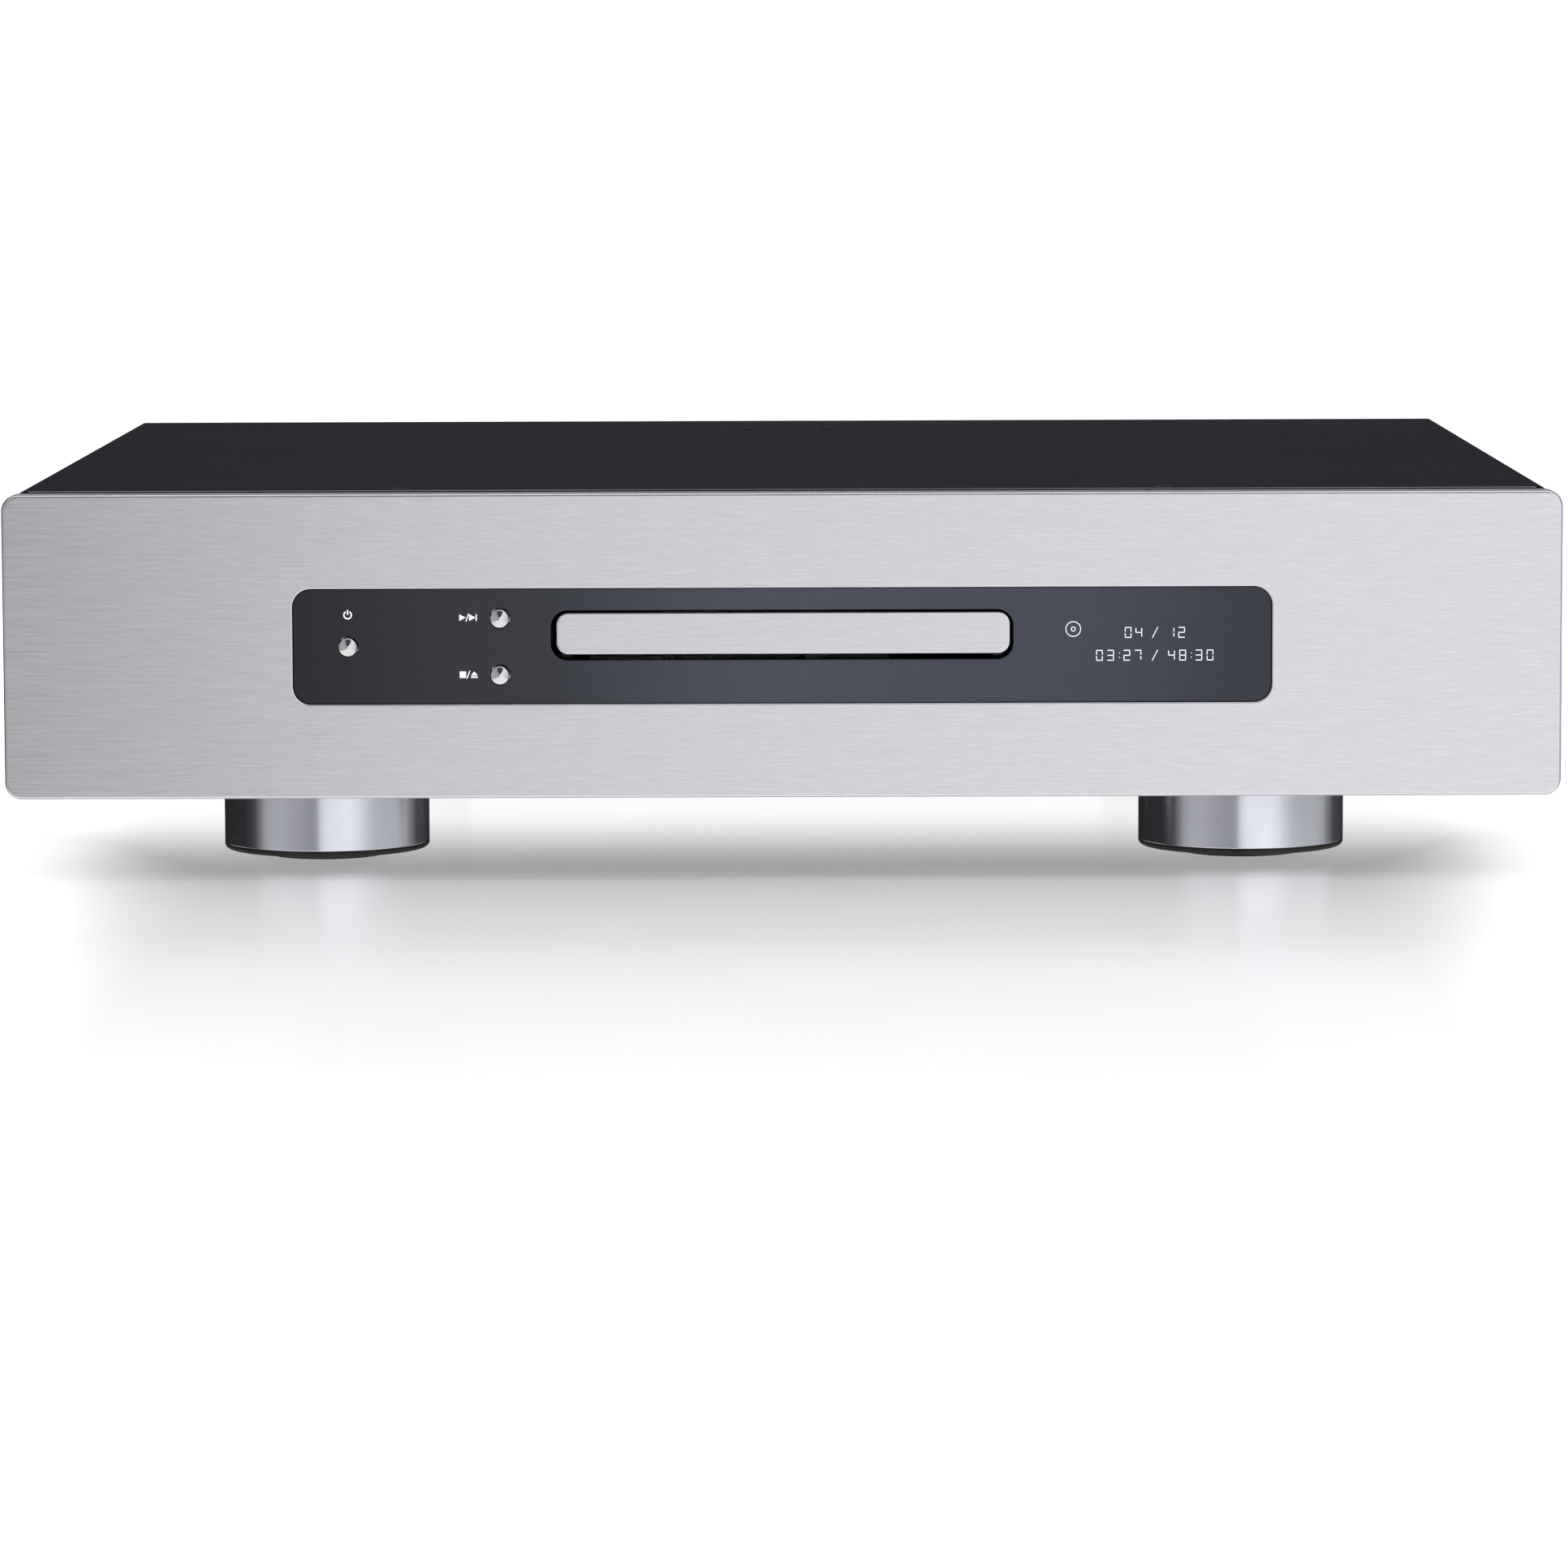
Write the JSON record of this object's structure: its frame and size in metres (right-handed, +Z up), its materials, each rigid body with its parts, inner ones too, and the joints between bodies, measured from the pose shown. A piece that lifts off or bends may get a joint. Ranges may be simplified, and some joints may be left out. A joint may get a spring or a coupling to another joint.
{
  "type": "cd player",
  "caption": "Full-width hi-fi disc player: brushed aluminium front plate with dark window and tray slot, black steel case, round aluminium feet, sliding disc tray.",
  "frame": {"origin": "on the floor under the middle of the whole body, tray shut", "axes": "+X to the right as seen from the front, +Y from the front plate to the rear, +Z up"},
  "size_m": [0.43, 0.382, 0.1074],
  "materials": {
    "brushed_aluminium": "fine horizontal brushing",
    "foot_aluminium": "turned and polished",
    "polished_steel": "polished",
    "dark_window": "gloss",
    "black_paint": "fine satin texture",
    "zinc_steel": "zinc plated",
    "black_steel": "blackened",
    "polished_rod": "ground",
    "motor_steel": "satin",
    "magnet": "nickel plated",
    "rubber": "matte",
    "black_plastic": "matte",
    "white_plastic": "satin",
    "board_green": "solder mask",
    "winding_tape": "taped winding",
    "gold_plate": "gold plated",
    "capacitor_sleeve": "shrink sleeve",
    "fin_aluminium": "extruded",
    "wire_jacket": "matte",
    "lens_glass": "coated"
  },
  "bodies": {
    "chassis": {"front_panel": "brushed_aluminium", "foot_housings": "foot_aluminium", "window_panel": "dark_window", "top_cover": "black_paint", "chassis_pan": "black_paint", "rear_panel": "black_paint", "front_subframe": "black_paint", "panel_spacers": "zinc_steel", "machine_screws": "zinc_steel", "standoffs": "zinc_steel", "clamp_bridge": "zinc_steel", "transformer_clamp": "zinc_steel", "cover_screws": "black_steel", "loading_motor": "motor_steel", "foot_rims": "rubber", "foot_pads": "rubber", "drive_grommets": "rubber", "drive_belt": "rubber", "window_carrier": "black_plastic", "display_module": "black_plastic", "ir_receiver": "black_plastic", "tact_switches": "black_plastic", "power_inlet": "black_plastic", "rocker_housing": "black_plastic", "xlr_sockets": "black_plastic", "optical_socket": "black_plastic", "board_chips": "black_plastic", "drive_chassis": "black_plastic", "rca_insulators": "white_plastic", "ribbon_cables": "white_plastic", "front_board": "board_green", "main_board": "board_green", "servo_board": "board_green", "power_board": "board_green", "transformer": "winding_tape", "rca_sockets": "gold_plate", "capacitors": "capacitor_sleeve", "heatsinks": "fin_aluminium", "mains_wires": "wire_jacket"},
    "tray": {"disc_tray": "black_plastic", "tray_front": "brushed_aluminium"},
    "loading_gear": {"loading_gear": "white_plastic"},
    "pulley_gear": {"pulley_gear": "white_plastic"},
    "motor_pulley": {"motor_pulley": "white_plastic"},
    "cam_slider": {"cam_slider": "white_plastic"},
    "deck": {"traverse_deck": "zinc_steel", "guide_rods": "polished_rod", "sled_motor": "motor_steel", "spindle_motor": "motor_steel"},
    "turntable": {"turntable": "black_plastic"},
    "clamper": {"clamper": "black_plastic", "clamper_magnet": "magnet"},
    "pickup": {"pickup_sled": "black_plastic", "objective_lens": "lens_glass"},
    "sled_gear": {"sled_gear": "white_plastic"},
    "sled_pinion": {"sled_pinion": "gold_plate"},
    "power_button": {"power_button": "polished_steel"},
    "play_button": {"play_button": "polished_steel"},
    "stop_button": {"stop_button": "polished_steel"},
    "mains_rocker": {"mains_rocker": "black_plastic"}
  },
  "joints": [
    {"name": "tray_slide", "type": "slide", "parent": "chassis", "child": "tray", "axis": [0, -1, 0], "range_m": [0, 0.145]},
    {"name": "loading_gear_spin", "type": "hinge", "parent": "chassis", "child": "loading_gear", "pos_m": [-0.042, -0.158, 0.0614], "axis": [0, 0, 1], "range_deg": [0, 692.82]},
    {"name": "pulley_gear_spin", "type": "hinge", "parent": "chassis", "child": "pulley_gear", "pos_m": [-0.0228, -0.158, 0.0564], "axis": [0, 0, 1], "range_deg": [-1154.37, 0]},
    {"name": "motor_pulley_spin", "type": "hinge", "parent": "chassis", "child": "motor_pulley", "pos_m": [0.025, -0.158, 0.0544], "axis": [0, 0, 1], "range_deg": [-3765.77, 0]},
    {"name": "deck_tilt", "type": "hinge", "parent": "chassis", "child": "deck", "pos_m": [0, 0.004, 0.0514], "axis": [1, 0, 0], "range_deg": [0, 2.17]},
    {"name": "cam_slide", "type": "slide", "parent": "chassis", "child": "cam_slider", "axis": [1, 0, 0], "range_m": [0, 0.01201]},
    {"name": "spindle_spin", "type": "hinge", "parent": "deck", "child": "turntable", "pos_m": [0, -0.108, 0.0664], "axis": [0, 0, 1], "continuous": true},
    {"name": "clamper_spin", "type": "hinge", "parent": "chassis", "child": "clamper", "pos_m": [0, -0.108, 0.0744], "axis": [0, 0, 1], "continuous": true},
    {"name": "pickup_slide", "type": "slide", "parent": "deck", "child": "pickup", "axis": [0, 1, 0], "range_m": [0, 0.036]},
    {"name": "sled_gear_spin", "type": "hinge", "parent": "deck", "child": "sled_gear", "pos_m": [0.0406, -0.062, 0.0584], "axis": [0, 0, 1], "range_deg": [-215.06, 0]},
    {"name": "sled_pinion_spin", "type": "hinge", "parent": "deck", "child": "sled_pinion", "pos_m": [0.0364, -0.07324, 0.0604], "axis": [0, 0, 1], "range_deg": [0, 358.3]},
    {"name": "power_button_press", "type": "slide", "parent": "chassis", "child": "power_button", "axis": [0, 1, 0], "range_m": [0, 0.0008], "stiffness_N_per_m": 250, "springref_m": -0.002},
    {"name": "play_button_press", "type": "slide", "parent": "chassis", "child": "play_button", "axis": [0, 1, 0], "range_m": [0, 0.0008], "stiffness_N_per_m": 250, "springref_m": -0.002},
    {"name": "stop_button_press", "type": "slide", "parent": "chassis", "child": "stop_button", "axis": [0, 1, 0], "range_m": [0, 0.0008], "stiffness_N_per_m": 250, "springref_m": -0.002},
    {"name": "mains_rocker_tilt", "type": "hinge", "parent": "chassis", "child": "mains_rocker", "pos_m": [-0.122, 0.1745, 0.0534], "axis": [1, 0, 0], "range_deg": [-16, 0]}
  ],
  "couplings": [
    {"joint": "loading_gear_spin", "follows": "tray_slide", "rad_per_m": 83.333},
    {"joint": "pulley_gear_spin", "follows": "tray_slide", "rad_per_m": -138.89},
    {"joint": "motor_pulley_spin", "follows": "tray_slide", "rad_per_m": -453.22},
    {"joint": "cam_slide", "follows": "deck_tilt", "m_per_rad": 0.31745},
    {"joint": "clamper_spin", "follows": "spindle_spin", "ratio": 1},
    {"joint": "sled_gear_spin", "follows": "pickup_slide", "rad_per_m": -104.17},
    {"joint": "sled_pinion_spin", "follows": "pickup_slide", "rad_per_m": 173.61}
  ]
}
